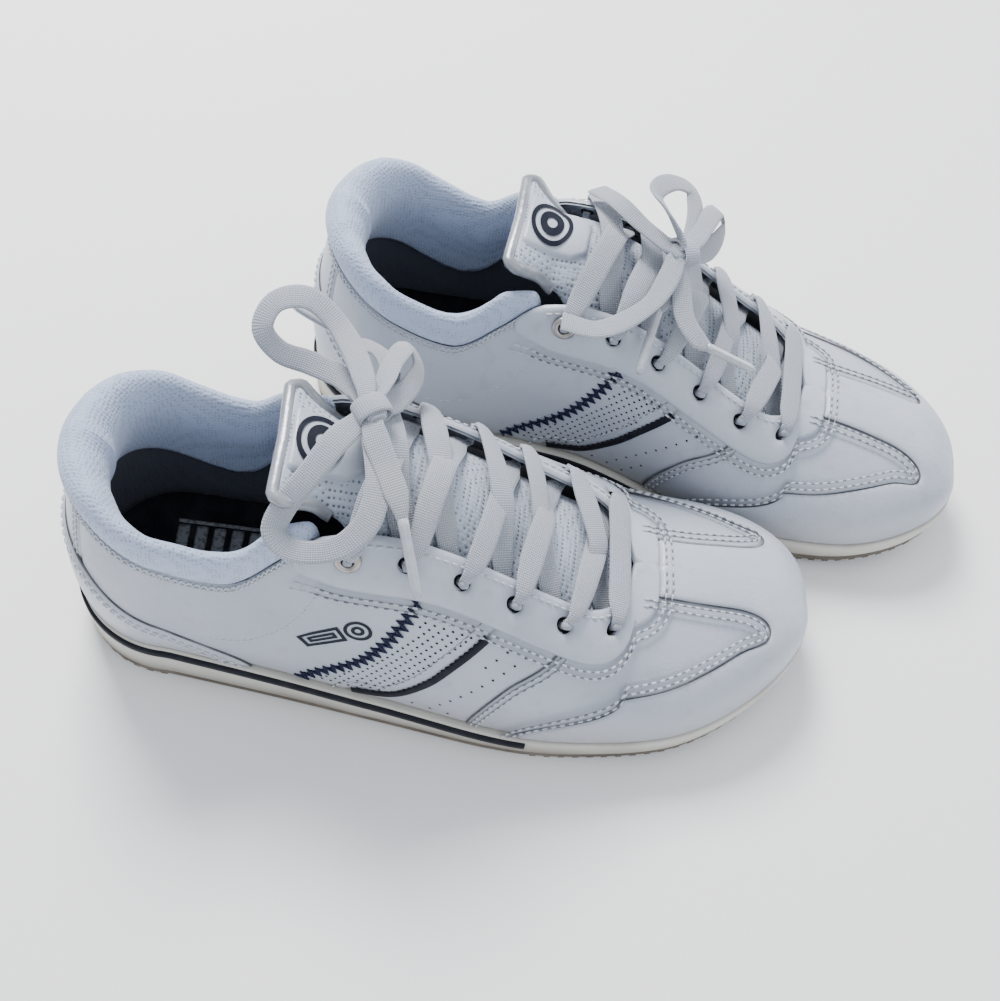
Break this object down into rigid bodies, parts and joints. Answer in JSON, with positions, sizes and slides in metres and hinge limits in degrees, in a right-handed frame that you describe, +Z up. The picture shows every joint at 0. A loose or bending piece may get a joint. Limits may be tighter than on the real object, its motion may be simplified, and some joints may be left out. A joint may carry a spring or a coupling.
{
  "type": "pair of cheer trainers",
  "caption": "Pair of low white leather lace-up trainers for cheerleading and gymnastics, with padded mesh collars, tied flat laces and thin light soles.",
  "frame": {"origin": "centre of the pair's footprint on the ground, laces left out", "axes": "+X towards the toes, +Y towards the left shoe, +Z up"},
  "size_m": [0.3326, 0.211, 0.1227],
  "materials": {
    "leather": "white, smooth, lightly creased and worn",
    "mesh": "bluish white air mesh over foam",
    "lining": "dark woven lining",
    "footbed": "black knit over foam",
    "midsole": "off-white moulded foam, dirty at its lower edge",
    "outsole": "moulded rubber, worn",
    "stripe": "near-black trim",
    "lace": "flat woven white lace",
    "tip": "translucent film",
    "metal": "worn plated eyelet",
    "board": "fibre board"
  },
  "bodies": {
    "right_shoe": {"right_outsole": "outsole", "right_midsole": "midsole", "right_foxing_stripe": "stripe", "right_insole_board": "board", "right_footbed": "footbed", "right_vamp": "leather", "right_outer_quarter": "leather", "right_outer_perforated_panel": "leather", "right_outer_side_panel": "leather", "right_inner_quarter": "leather", "right_inner_perforated_panel": "leather", "right_inner_side_panel": "leather", "right_heel_tab": "leather", "right_toe_overlay": "leather", "right_eyestay": "leather", "right_heel_overlay": "leather", "right_outer_stripe": "stripe", "right_inner_stripe": "stripe", "right_vamp_lining": "lining", "right_quarter_lining": "lining", "right_heel_counter": "board", "right_collar": "mesh", "right_outer_eyelet": "metal", "right_inner_eyelet": "metal", "right_lacing": "lace", "right_bow": "lace", "right_aglet_a": "tip", "right_aglet_b": "tip"},
    "right_tongue": {"right_tongue": "mesh", "right_tongue_badge": "leather"},
    "left_shoe": {"left_outsole": "outsole", "left_midsole": "midsole", "left_foxing_stripe": "stripe", "left_insole_board": "board", "left_footbed": "footbed", "left_vamp": "leather", "left_outer_quarter": "leather", "left_outer_perforated_panel": "leather", "left_outer_side_panel": "leather", "left_inner_quarter": "leather", "left_inner_perforated_panel": "leather", "left_inner_side_panel": "leather", "left_heel_tab": "leather", "left_toe_overlay": "leather", "left_eyestay": "leather", "left_heel_overlay": "leather", "left_outer_stripe": "stripe", "left_inner_stripe": "stripe", "left_vamp_lining": "lining", "left_quarter_lining": "lining", "left_heel_counter": "board", "left_collar": "mesh", "left_outer_eyelet": "metal", "left_inner_eyelet": "metal", "left_lacing": "lace", "left_bow": "lace", "left_aglet_a": "tip", "left_aglet_b": "tip"},
    "left_tongue": {"left_tongue": "mesh", "left_tongue_badge": "leather"}
  },
  "joints": [
    {"name": "left_shoe_slide", "type": "slide", "parent": "right_shoe", "child": "left_shoe", "axis": [0, 1, 0], "range_m": [0, 0.15]},
    {"name": "right_tongue_hinge", "type": "hinge", "parent": "right_shoe", "child": "right_tongue", "pos_m": [0.0343, -0.0479, 0.043], "axis": [0.0645, -0.9979, 0], "range_deg": [0, 3]},
    {"name": "left_tongue_hinge", "type": "hinge", "parent": "left_shoe", "child": "left_tongue", "pos_m": [0.0973, 0.0479, 0.043], "axis": [-0.0645, -0.9979, 0], "range_deg": [0, 3]}
  ]
}
